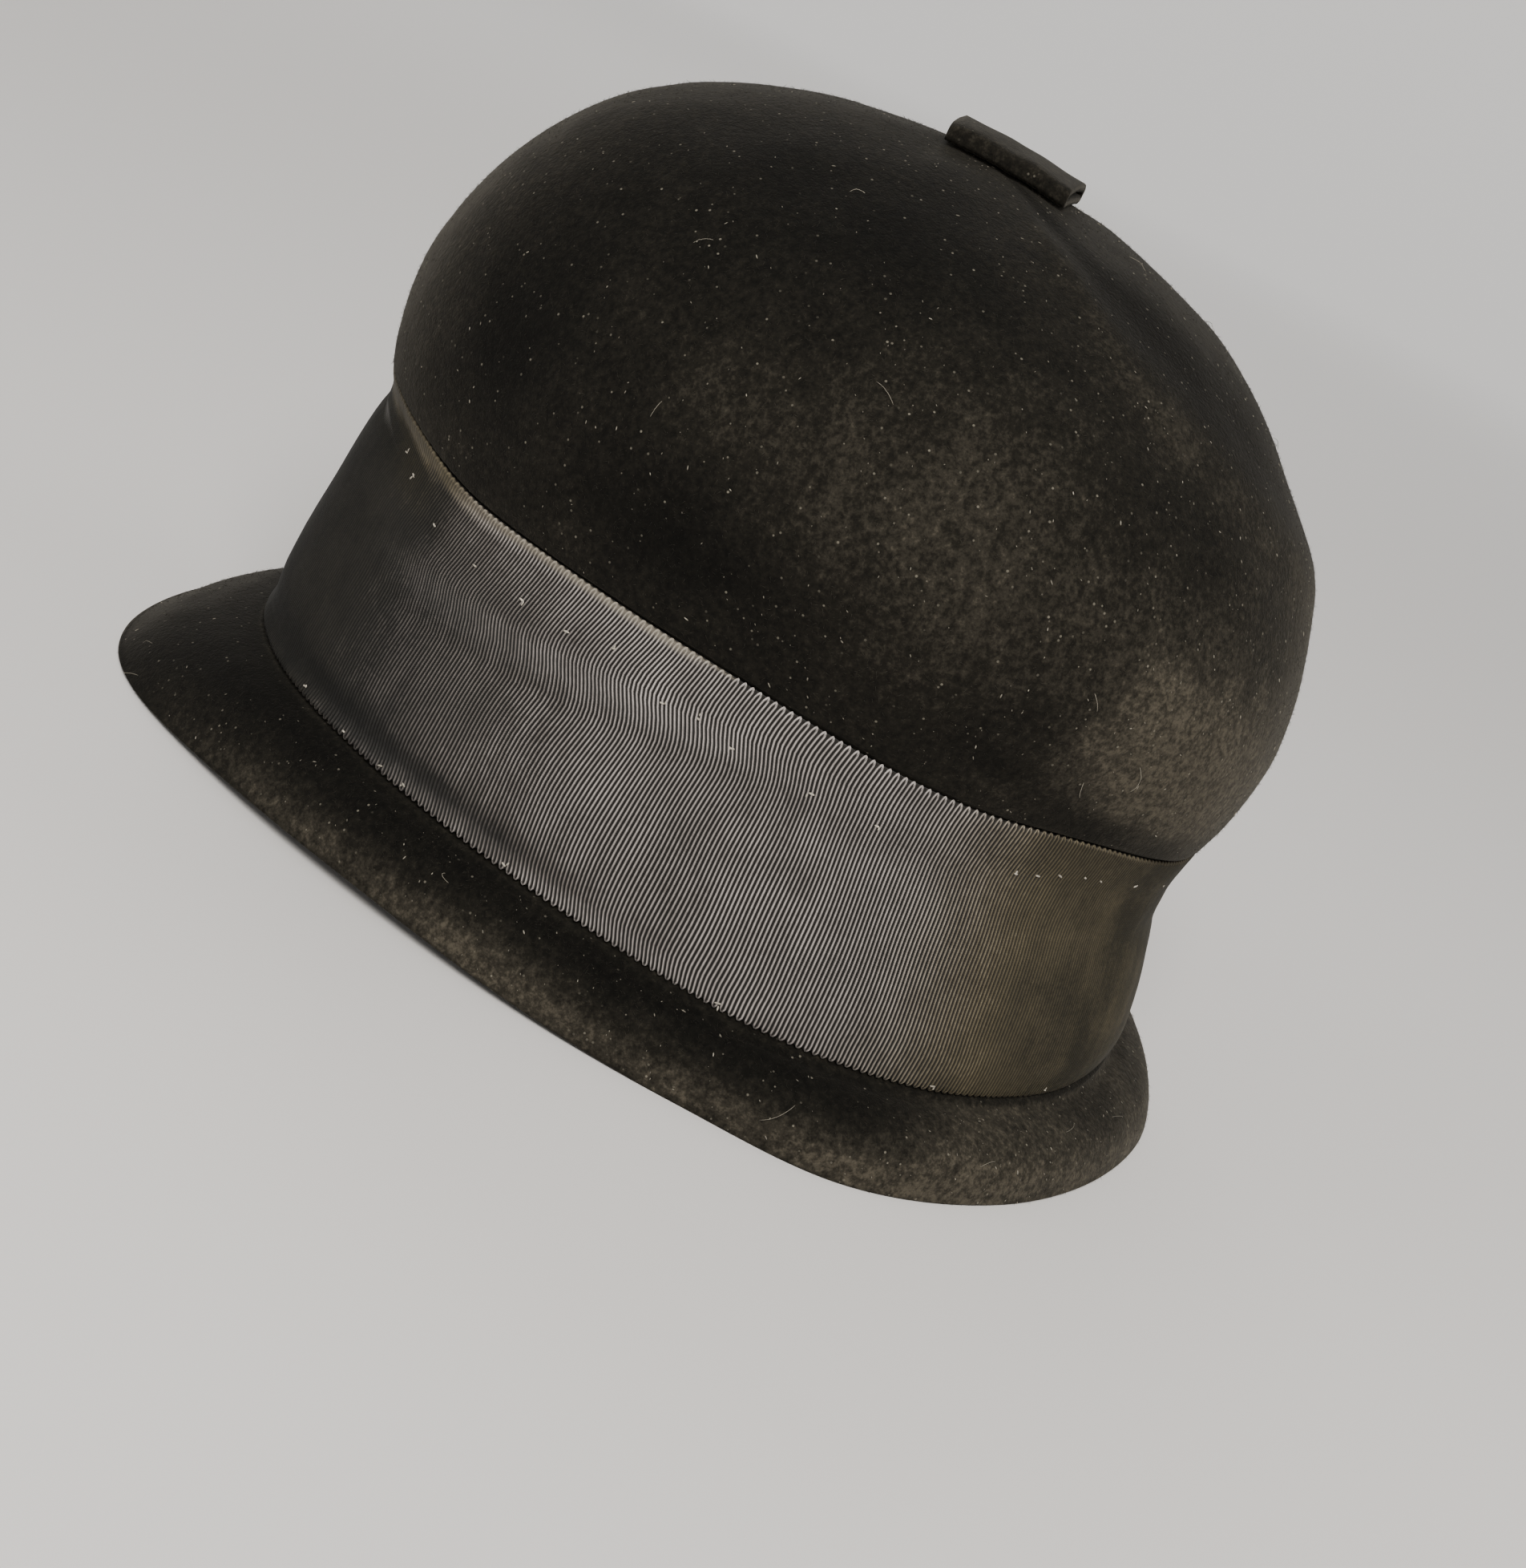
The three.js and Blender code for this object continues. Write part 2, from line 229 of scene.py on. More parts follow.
def felt_relief(v, t, p):
    """Dents, swellings and unevenness of the blocked felt, in mm along the normal."""
    d = deg(t)
    crown = smooth(v, 11.2, 12.6)
    brim = 1 - smooth(v, 4.6, 5.6)
    h = 0.55 * noise(p, 38, 1) * crown + 0.30 * noise(p, 17, 2) * crown + 0.10 * noise(p, 7.5, 3) * (crown + brim)
    h = h + 0.30 * noise(p, 26, 4) * brim * smooth(v, 0.0, 1.5)
    # ridge and the shallow facet beyond it, over the upper back
    at = np.interp(d, RIDGE[:, 0], RIDGE[:, 1])
    reach = smooth(d, 98, 116)
    h = h + reach * crown * (0.60 * bump(v, at - 0.35, 0.60) - 0.42 * bump(v, at + 0.75, 0.70) * (1 - 0.5 * smooth(d, 150, 176)))
    # broad thumb dents above the ribbon
    h = h - crown * 0.9 * bump(d, 74, 15) * bump(v, 13.1, 1.2)
    h = h - crown * 0.7 * bump(d, 113, 13) * bump(v, 12.5, 0.9)
    h = h + crown * 0.6 * bump(d, 93, 22) * bump(v, 15.0, 1.4)
    h = h - crown * 0.5 * bump(d, 46, 9) * bump(v, 15.2, 2.2)
    # the brim's root is pressed in along the ribbon, and its edge waves a little
    h = h - 0.30 * bump(v, 4.9, 0.6) + 0.35 * bump(v, 2.3, 0.9)
    h = h + brim * 0.35 * np.sin(3 * np.radians(d) + 0.6) * smooth(v, 0.3, 2.0)
    return h * (1 - smooth(v, 23.2, 24.0) * 0.6)


def felt_point(v, t):
    p = base(v, t)
    n = normal(v, t)
    top = top_edge(t)
    under = smooth(v, 5.70, 6.0) * (1 - smooth(v, top + 0.00, top + 0.20))
    lift = felt_relief(v, t, p) * (1 - under) * smooth(v, 0.0, 0.6) - (RIBBON_THICK + GAP) * under
    q = p + n * lift[..., None]
    q[..., 2] = np.maximum(q[..., 2], 0.0)
    return q, n


def mottle_and_painted_light(v, t, p):
    """Felt tone, 0 dark to 1 pale: random mottle plus painted light and shade over the crown's side, lower back, dents,
    ridge, facet and brim.
    """
    d = deg(t)
    f = 0.36 + 0.06 * noise(p, 30, 11) + 0.06 * noise(p, 13, 12) + 0.07 * noise(p, 5, 13)
    side = smooth(v, 12, 13)
    # painted light on the side panel, the lower back and a small front patch; painted shade in the thumb dents and over
    # the upper crown
    f = f + 0.30 * side * bump(d, 97, 24) * bump(v, 16.4, 2.6)
    f = f + 0.64 * side * smooth(d, 112, 136) * (1 - 0.5 * smooth(d, 146, 170)) * bump(v, 14.2, 2.3)
    f = f - 0.28 * side * bump(d, 73, 9) * bump(v, 13.7, 1.3)
    f = f - 0.30 * side * bump(d, 112, 8) * bump(v, 12.2, 0.75)
    f = f - 0.30 * side * bump(d, 46, 7) * bump(v, 15.4, 2.4)
    f = f - 0.24 * bump(v, 20.3, 2.0) * bump(d, 74, 34)
    f = f + 0.12 * side * bump(d, 27, 8) * bump(v, 14.6, 2.0)
    # painted highlight along the ridge and painted shade on the facet beyond it
    at = np.interp(d, RIDGE[:, 0], RIDGE[:, 1])
    f = f + smooth(d, 98, 116) * (0.20 * bump(v, at - 0.55, 0.75) - 0.66 * bump(v, at + 0.85, 0.85))
    # brim: painted highlight along the edge, painted shade beside the ribbon and over the front, painted light at the
    # back
    brim = 1 - smooth(v, 5.2, 5.9)
    f = f + brim * (0.40 * bump(v, 0.7, 1.15) * smooth(d, 30, 80) - 0.26 * bump(v, 4.0, 1.5) * (1 - 0.8 * smooth(d, 116, 140)) - 0.30 * (1 - smooth(d, 22, 62)))
    f = f + brim * (0.36 - 0.30 * bump(v, 0.7, 1.15)) * smooth(d, 116, 140)
    return np.clip(f, 0.0, 0.84)


def new_mesh(name, points, faces, attributes=None, uv=None):
    mesh = bpy.data.meshes.new(name)
    points = np.asarray(points, float) * MM
    faces = np.asarray(faces)
    mesh.vertices.add(len(points))
    mesh.vertices.foreach_set("co", points.ravel())
    if faces.ndim == 2:
        sizes = np.full(len(faces), faces.shape[1])
        loops = faces.ravel()
    else:
        sizes = np.array([len(f) for f in faces])
        loops = np.concatenate([np.asarray(f) for f in faces])
    mesh.loops.add(len(loops))
    mesh.loops.foreach_set("vertex_index", loops.astype(np.int32))
    mesh.polygons.add(len(sizes))
    starts = np.concatenate([[0], np.cumsum(sizes)[:-1]])
    mesh.polygons.foreach_set("loop_start", starts.astype(np.int32))
    mesh.polygons.foreach_set("loop_total", sizes.astype(np.int32))
    mesh.update(calc_edges=True)
    mesh.polygons.foreach_set("use_smooth", np.ones(len(sizes), dtype=bool))
    for key, values in (attributes or {}).items():
        layer = mesh.attributes.new(key, "FLOAT", "POINT")
        layer.data.foreach_set("value", np.asarray(values, np.float32).ravel())
    if uv is not None:
        layer = mesh.uv_layers.new(name="UVMap")
        layer.data.foreach_set("uv", np.asarray(uv, np.float32)[loops].ravel())
    mesh.validate()
    piece = bpy.data.objects.new(name, mesh)
    bpy.context.collection.objects.link(piece)
    return piece


def ring_faces(rows, n, close=False):
    i = np.arange(n)
    j = (i + 1) % n
    quads = []
    for k in range(rows if close else rows - 1):
        m = (k + 1) % rows
        quads.append(np.stack([k * n + i, k * n + j, m * n + j, m * n + i], 1))
    return np.concatenate(quads)


def joined(name, solids, attributes=None):
    """One mesh from many small closed solids, each (points, faces, value)."""
    points, faces, values, at = [], [], [], 0
    for p, f, value in solids:
        points.append(p)
        faces.extend([tuple(int(k) + at for k in q) for q in f])
        values.append(np.full(len(p), value))
        at += len(p)
    widths = {len(f) for f in faces}
    faces = np.array(faces) if len(widths) == 1 else faces
    if isinstance(faces, list):
        mesh = bpy.data.meshes.new(name)
        mesh.from_pydata([tuple(q) for q in np.concatenate(points) * MM], [], faces)
        mesh.update()
        mesh.polygons.foreach_set("use_smooth", np.ones(len(mesh.polygons), dtype=bool))
        layer = mesh.attributes.new("tone", "FLOAT", "POINT")
        layer.data.foreach_set("value", np.concatenate(values).astype(np.float32))
        piece = bpy.data.objects.new(name, mesh)
        bpy.context.collection.objects.link(piece)
        return piece
    return new_mesh(name, np.concatenate(points), faces, {"tone": np.concatenate(values)})


# ---------------------------------------------------------------- materials
def material(name):
    m = bpy.data.materials.new(name)
    m.use_nodes = True
    nodes = m.node_tree.nodes
    nodes.clear()
    shader = nodes.new("ShaderNodeBsdfPrincipled")
    final = nodes.new("ShaderNodeOutputMaterial")
    m.node_tree.links.new(shader.outputs[0], final.inputs[0])
    return m, nodes, m.node_tree.links, shader


def noise_node(nodes, links, coords, scale, detail=3.0, rough=0.55):
    n = nodes.new("ShaderNodeTexNoise")
    n.inputs["Scale"].default_value = scale
    n.inputs["Detail"].default_value = detail
    n.inputs["Roughness"].default_value = rough
    links.new(coords, n.inputs["Vector"])
    return n.outputs["Fac"]


def mathn(nodes, links, op, x, y=None, clamp=False):
    n = nodes.new("ShaderNodeMath")
    n.operation = op
    n.use_clamp = clamp
    for k, value in enumerate((x, y)):
        if value is None:
            continue
        if isinstance(value, (int, float)):
            n.inputs[k].default_value = value
        else:
            links.new(value, n.inputs[k])
    return n.outputs[0]


def ramp(nodes, links, fac, stops):
    n = nodes.new("ShaderNodeValToRGB")
    els = n.color_ramp.elements
    while len(els) < len(stops):
        els.new(0.5)
    for el, (at, colour) in zip(els, stops):
        el.position = at
        el.color = (*colour, 1)
    links.new(fac, n.inputs[0])
    return n.outputs[0]


def attribute(nodes, name):
    n = nodes.new("ShaderNodeAttribute")
    n.attribute_name = name
    return n.outputs["Fac"]


def add_bump(nodes, links, shader, height, strength, distance):
    n = nodes.new("ShaderNodeBump")
    n.inputs["Strength"].default_value = strength
    n.inputs["Distance"].default_value = distance
    links.new(height, n.inputs["Height"])
    links.new(n.outputs[0], shader.inputs["Normal"])


def felt_material(name, fixed=None):
    """Black velour: a mottled pile with painted light and shade making it lighter and darker, with pale specks."""
    m, nodes, links, shader = material(name)
    coords = nodes.new("ShaderNodeTexCoord").outputs["Object"]
    coarse = noise_node(nodes, links, coords, 300, 3, 0.6)
    grain = noise_node(nodes, links, coords, 700, 3, 0.65)
    fine = noise_node(nodes, links, coords, 1900, 2, 0.6)
    f = mathn(nodes, links, "MULTIPLY", coarse, 0.24)
    f = mathn(nodes, links, "MULTIPLY_ADD", grain, 1.00)
    f.node.inputs[2].default_value = 0.0
    links.new(mathn(nodes, links, "MULTIPLY", coarse, 0.24), f.node.inputs[2])
    f2 = mathn(nodes, links, "MULTIPLY_ADD", fine, 0.42)
    links.new(f, f2.node.inputs[2])
    f3 = mathn(nodes, links, "SUBTRACT", f2, 0.81)
    # random mottle with painted light and shade per vertex, or one fixed level
    tone = attribute(nodes, "mottle_and_painted_light") if fixed is None else None
    if tone is not None:
        total = mathn(nodes, links, "ADD", f3, tone)
    else:
        total = mathn(nodes, links, "ADD", f3, fixed)
    colour = ramp(nodes, links, total, [
        (0.00, (0.0014, 0.0013, 0.0009)), (0.25, (0.0036, 0.0033, 0.0024)),
        (0.50, (0.0085, 0.0076, 0.0055)), (0.75, (0.0230, 0.0203, 0.0150)),
        (1.00, (0.0600, 0.0520, 0.0380))])
    # pale lint in the nap
    cells = nodes.new("ShaderNodeTexVoronoi")
    cells.inputs["Scale"].default_value = 820
    links.new(coords, cells.inputs["Vector"])
    near = mathn(nodes, links, "LESS_THAN", cells.outputs["Distance"], 0.20)
    split = nodes.new("ShaderNodeSeparateColor")
    links.new(cells.outputs["Color"], split.inputs[0])
    rare = mathn(nodes, links, "GREATER_THAN", split.outputs[0], 0.88)
    speck = mathn(nodes, links, "MULTIPLY", near, rare)
    speck = mathn(nodes, links, "MULTIPLY", speck, mathn(nodes, links, "MULTIPLY", split.outputs[1], 0.42))
    mix = nodes.new("ShaderNodeMix")
    mix.data_type = "RGBA"
    links.new(speck, mix.inputs["Factor"])
    links.new(colour, mix.inputs["A"])
    mix.inputs["B"].default_value = (0.26, 0.24, 0.19, 1)
    links.new(mix.outputs["Result"], shader.inputs["Base Color"])
    shader.inputs["Roughness"].default_value = 0.92
    shader.inputs["Specular IOR Level"].default_value = 0.10
    shader.inputs["Sheen Weight"].default_value = 0.07
    shader.inputs["Sheen Roughness"].default_value = 0.38
    shader.inputs["Sheen Tint"].default_value = (0.80, 0.74, 0.62, 1)
    height = mathn(nodes, links, "ADD", mathn(nodes, links, "MULTIPLY", grain, 0.9), mathn(nodes, links, "MULTIPLY", fine, 0.6))
    add_bump(nodes, links, shader, height, 0.6, 0.00035)
    return m


def ribbon_material():
    """Grosgrain: rib crests painted pale as highlights over gaps painted dark as shade, with fine threads across each
    rib.
    """
    m, nodes, links, shader = material("ribbon_grosgrain")
    coords = nodes.new("ShaderNodeTexCoord")
    obj = coords.outputs["Object"]
    sep = nodes.new("ShaderNodeSeparateXYZ")
    links.new(coords.outputs["UV"], sep.inputs[0])
    rib_crest_highlight = attribute(nodes, "rib_crest_highlight")
    # per-vertex tone of the band, with its painted shade and painted light
    tone = attribute(nodes, "tone")
    soft = noise_node(nodes, links, obj, 90, 3, 0.6)
    grain = noise_node(nodes, links, obj, 900, 3, 0.65)
    # threads across the ribs, along the ribbon
    threads = mathn(nodes, links, "SINE", mathn(nodes, links, "MULTIPLY", sep.outputs[1], 2 * PI / 0.42))
    f = mathn(nodes, links, "MULTIPLY_ADD", mathn(nodes, links, "SUBTRACT", soft, 0.5), 0.30)
    links.new(tone, f.node.inputs[2])
    f = mathn(nodes, links, "ADD", f, mathn(nodes, links, "MULTIPLY", mathn(nodes, links, "SUBTRACT", grain, 0.5), 0.34))
    grey = ramp(nodes, links, f, [
        (0.00, (0.0080, 0.0078, 0.0070)), (0.25, (0.026, 0.0245, 0.0222)),
        (0.55, (0.120, 0.108, 0.099)), (0.80, (0.300, 0.272, 0.256)), (1.00, (0.480, 0.445, 0.420))])
    drab = ramp(nodes, links, f, [
        (0.00, (0.0075, 0.0070, 0.0038)), (0.25, (0.026, 0.0222, 0.0115)),
        (0.55, (0.105, 0.087, 0.050)), (0.80, (0.240, 0.203, 0.128)), (1.00, (0.400, 0.350, 0.245))])
    hue = nodes.new("ShaderNodeMix")
    hue.data_type = "RGBA"
    links.new(attribute(nodes, "olive"), hue.inputs["Factor"])
    links.new(grey, hue.inputs["A"])
    links.new(drab, hue.inputs["B"])
    pale = hue.outputs["Result"]
    # gap colour: painted shade between the ribs; the grey and drab colours above are the painted highlight on the rib
    # crests
    dark = ramp(nodes, links, f, [
        (0.00, (0.0025, 0.0023, 0.0018)), (0.60, (0.0060, 0.0054, 0.0045)), (1.00, (0.010, 0.009, 0.0075))])
    sharp = nodes.new("ShaderNodeMapRange")
    sharp.interpolation_type = "SMOOTHSTEP"
    sharp.inputs["From Min"].default_value = 0.36
    sharp.inputs["From Max"].default_value = 0.90
    links.new(rib_crest_highlight, sharp.inputs["Value"])
    clear = attribute(nodes, "rib_highlight_strength")
    shaped = mathn(nodes, links, "MULTIPLY", mathn(nodes, links, "SUBTRACT", sharp.outputs["Result"], 0.38), clear)
    shaped = mathn(nodes, links, "ADD", shaped, 0.38, True)
    mix = nodes.new("ShaderNodeMix")
    mix.data_type = "RGBA"
    links.new(shaped, mix.inputs["Factor"])
    links.new(dark, mix.inputs["A"])
    links.new(pale, mix.inputs["B"])
    links.new(mix.outputs["Result"], shader.inputs["Base Color"])
    shader.inputs["Roughness"].default_value = 0.58
    shader.inputs["Specular IOR Level"].default_value = 0.17
    shader.inputs["Sheen Weight"].default_value = 0.04
    shader.inputs["Sheen Roughness"].default_value = 0.4
    height = mathn(nodes, links, "ADD", mathn(nodes, links, "MULTIPLY", threads, 0.22), grain)
    add_bump(nodes, links, shader, height, 0.45, 0.00018)
    return m


def thread_material(name, low, high, rough=0.6):
    m, nodes, links, shader = material(name)
    obj = nodes.new("ShaderNodeTexCoord").outputs["Object"]
    n = noise_node(nodes, links, obj, 1500, 2, 0.6)
    f = mathn(nodes, links, "ADD", mathn(nodes, links, "MULTIPLY", n, 0.5), mathn(nodes, links, "MULTIPLY", attribute(nodes, "tone"), 0.5))
    links.new(ramp(nodes, links, f, [(0.0, low), (1.0, high)]), shader.inputs["Base Color"])
    shader.inputs["Roughness"].default_value = rough
    shader.inputs["Specular IOR Level"].default_value = 0.25
    add_bump(nodes, links, shader, n, 0.4, 0.0001)
    return m


felt = felt_material("felt_velour")
felt_inside = felt_material("felt_inner_skin", 0.34)
felt_tab = felt_material("felt_tab", 0.46)
ribbon_mat = ribbon_material()
stitch_mat = thread_material("tack_thread", (0.12, 0.108, 0.085), (0.50, 0.46, 0.39))
lint_mat = thread_material("lint", (0.06, 0.054, 0.042), (0.40, 0.37, 0.30), 0.8)
hair_mat = thread_material("nap_fibres", (0.0030, 0.0027, 0.0020), (0.052, 0.046, 0.034), 0.95)

# --------------------------------------------------------------- felt hood
NT = 360
T = np.arange(NT) / NT * 2 * PI
V_OUT = np.concatenate([
    np.linspace(0.0, 1.0, 7)[:-1], np.linspace(1.0, 5.4, 26)[:-1], np.linspace(5.4, 6.1, 8)[:-1],
    np.linspace(6.1, 10.8, 12)[:-1], np.linspace(10.8, 12.6, 25)[:-1], np.linspace(12.6, 19.0, 57)[:-1],
    np.linspace(19.0, 23.4, 42)[:-1], np.linspace(23.4, 23.97, 6)])
rows = []
mottle_and_painted_light_rows = []
for v in V_OUT:
    p, n = felt_point(np.full(NT, v), T)
    rows.append(p)
    mottle_and_painted_light_rows.append(mottle_and_painted_light(np.full(NT, v), T, p))
outer_top = (rows[-1].mean(0), mottle_and_painted_light_rows[-1].mean())

# inner skin, one wall in, from the edge up
V_IN = np.concatenate([np.linspace(0.0, 5.4, 16)[:-1], np.linspace(5.4, 6.2, 5)[:-1], np.linspace(6.2, 10.8, 9)[:-1],
                       np.linspace(10.8, 12.0, 6)[:-1], np.linspace(12.0, 23.0, 24)])
inner = []
for v in V_IN:
    vv = np.full(NT, v)
    p = base(vv, T)
    n = normal(vv, T)
    under = smooth(v, 5.3, 6.1) * (1 - smooth(v, top_edge(T) + 0.02, top_edge(T) + 0.5))
    under = np.broadcast_to(under, (NT,))[:, None]
    inner.append(p - n * (FELT_WALL + (RIBBON_THICK + GAP) * under))
lip, above = inner[0], inner[1]
rise = above - lip
level = rows[0][:, 2]
share = (level - lip[:, 2]) / np.maximum(rise[:, 2], 0.05)
inner[0] = lip + rise * np.clip(share, -3, 3)[:, None]
inner[0][:, 2] = level
# the cut edge: level across, with both corners softened
a0, b0 = rows[0].copy(), inner[0].copy()
corner = 0.42
rows[0] = a0 + (b0 - a0) * 0.02 + np.array([0, 0, corner])
edge_rings = [a0 + (b0 - a0) * k + np.array([0, 0, z]) for k, z in ((0.16, 0.0), (0.38, 0.0), (0.62, 0.0), (0.84, 0.0))]
inner[0] = b0 + (a0 - b0) * 0.02 + np.array([0, 0, corner])
stack = inner[::-1] + edge_rings[::-1] + rows
hood_points = np.concatenate(stack)
mottle_and_painted_light_all = np.concatenate([np.full(NT * (len(inner)), 0.34), np.full(NT * 4, 0.42)] + mottle_and_painted_light_rows)
count = len(stack)
quads = ring_faces(count, NT)
tris = []
base_last = (count - 1) * NT
hood_points = np.concatenate([hood_points, [stack[0].mean(0) + np.array([0, 0, 1.0])], [outer_top[0] + np.array([0, 0, 0.02])]])
hood_points[:, 2] = np.maximum(hood_points[:, 2], 0.0)
mottle_and_painted_light_all = np.concatenate([mottle_and_painted_light_all, [0.34, outer_top[1]]])
inner_pole, outer_pole = len(hood_points) - 2, len(hood_points) - 1
for i in range(NT):
    j = (i + 1) % NT
    tris.append((inner_pole, j, i))
    tris.append((outer_pole, base_last + i, base_last + j))
faces = [tuple(q) for q in quads] + tris
mesh = bpy.data.meshes.new("felt_hood_shell")
mesh.from_pydata((hood_points * MM).tolist(), [], [tuple(int(k) for k in f) for f in faces])
mesh.update()
mesh.polygons.foreach_set("use_smooth", np.ones(len(mesh.polygons), dtype=bool))
layer = mesh.attributes.new("mottle_and_painted_light", "FLOAT", "POINT")
layer.data.foreach_set("value", mottle_and_painted_light_all.astype(np.float32))
hood = bpy.data.objects.new("felt_hood_shell", mesh)
bpy.context.collection.objects.link(hood)
hood.data.materials.append(felt)
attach(hood, "root")
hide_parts("felt_hood")

outer_grid = np.stack(rows)                      # rows x NT x 3, in mm
crown_rows = [k for k, v in enumerate(V_OUT) if v > 19.0]
crown_pts = np.concatenate([rows[k] for k in crown_rows] + [[outer_top[0]]])
crown_faces = ring_faces(len(crown_rows), NT).tolist()
last = (len(crown_rows) - 1) * NT
crown_faces += [(len(crown_pts) - 1, last + i, last + (i + 1) % NT) for i in range(NT)]
crown_tree = BVHTree.FromPolygons([tuple(p) for p in crown_pts], crown_faces)


def crown_z(x, y):
    hit = crown_tree.ray_cast(Vector((x, y, 400.0)), Vector((0, 0, -1)))
    return hit[0].z


# ------------------------------------------------------------- ribbon band
RIBS, PER = 700, 4
NC = RIBS * PER
V_LOW = FOOT + 0.06


def ribbon_row(s, t):
    return V_LOW + (top_edge(t) - V_LOW) * s


# turn at equal lengths round the hat, so that the ribs are evenly spaced
fine_t = np.linspace(0, 2 * PI, 2881)
mid = base(np.full(fine_t.shape, 8.6), fine_t)
step = np.linalg.norm(np.diff(mid, axis=0), axis=1)
run = np.concatenate([[0], np.cumsum(step)])
LENGTH = run[-1]
t_cols = np.interp(np.arange(NC) / NC * LENGTH, run, fine_t)
phase = (np.arange(NC) % PER) / PER
rib_no = np.arange(NC) // PER
rib_rand = np.random.default_rng(11).random(RIBS) * 2 - 1
crest_wave = 0.5 + 0.5 * np.cos(2 * PI * phase)
S_OUT = np.concatenate([[0.0, 0.014, 0.04, 0.08, 0.12, 0.16, 0.21, 0.27, 0.33, 0.39, 0.45, 0.50, 0.545, 0.585, 0.62,
                         0.655, 0.69, 0.72, 0.75, 0.78, 0.81, 0.85, 0.89, 0.925, 0.955, 0.984, 1.0]])
WIDTH = 57.0


def ribbon_sway(s, t):
    """Sideways run of the ribs in mm, at a share s of the width."""
    d = deg(t)
    side = np.where(np.mod(t, 2 * PI) <= PI, 1.0, -1.0)
    # the buckle: its middle climbs towards the back, and it fades out at both ends
    centre = np.interp(d, [40, 54, 64, 73, 81, 90, 100, 115], [0.62, 0.655, 0.68, 0.73, 0.78, 0.83, 0.86, 0.88])
    amount = np.interp(d, [30, 46, 58, 76, 90, 104, 122], [0.0, 1.7, 2.9, 2.8, 1.9, 0.9, 0.0])
    w = 0.055
    x = (s - centre) / w
    sway = -np.tanh(x) * np.exp(-(x / 3.6) ** 2) * amount * 0.75
    # the ribs hook backwards where the ribbon spreads on to the brim
    hook = np.interp(d, [38, 52, 70, 92, 120, 145], [0.0, 1.2, 1.5, 0.8, 0.3, 0.0])
    sway = sway + hook * (1 - smooth(s, 0.0, 0.14)) * 0.9
    # and they wander a little
    sway = sway + 0.22 * np.sin(s * 7 + d * 0.11) + 0.14 * np.sin(s * 15 + d * 0.23 + 1.3)
    return sway * side


def ribbon_relief(s, t, p):
    d = deg(t)
    h = 0.22 * noise(p, 24, 21) + 0.12 * noise(p, 10, 22)
    centre = np.interp(d, [40, 54, 64, 73, 81, 90, 100, 115], [0.62, 0.655, 0.68, 0.73, 0.78, 0.83, 0.86, 0.88])
    amount = np.interp(d, [30, 46, 58, 76, 90, 104, 122], [0.0, 0.8, 1.1, 1.0, 0.7, 0.35, 0.0])
    h = h + amount * (0.75 * bump(s, centre - 0.05, 0.035) - 0.25 * bump(s, centre + 0.035, 0.035))
    # crease line under the upper edge, where the tack stitches pull
    h = h - 0.45 * bump(s, 0.80, 0.045) * (0.5 + 0.5 * smooth(np.abs(d - 90), 20, 55))
    # the concave roll above the foot and the flare below it
    front = 1 - smooth(d, 66, 92)
    h = h - front * 0.45 * bump(s, 0.125, 0.055) + front * 0.65 * (1 - smooth(s, 0.0, 0.085))
    return np.maximum(h, -0.42)


def buckle_tone(s, d):
    """The near side of the buckle catches the light and its far side falls away."""
    centre = np.interp(d, [40, 54, 64, 73, 81, 90, 100, 115], [0.62, 0.655, 0.68, 0.73, 0.78, 0.83, 0.86, 0.88])
    amount = np.interp(d, [30, 46, 58, 76, 90, 104, 122], [0.0, 0.8, 1.0, 0.9, 0.55, 0.25, 0.0])
    return amount * (0.08 * bump(s, centre + 0.045, 0.035) - 0.08 * bump(s, centre - 0.070, 0.035))


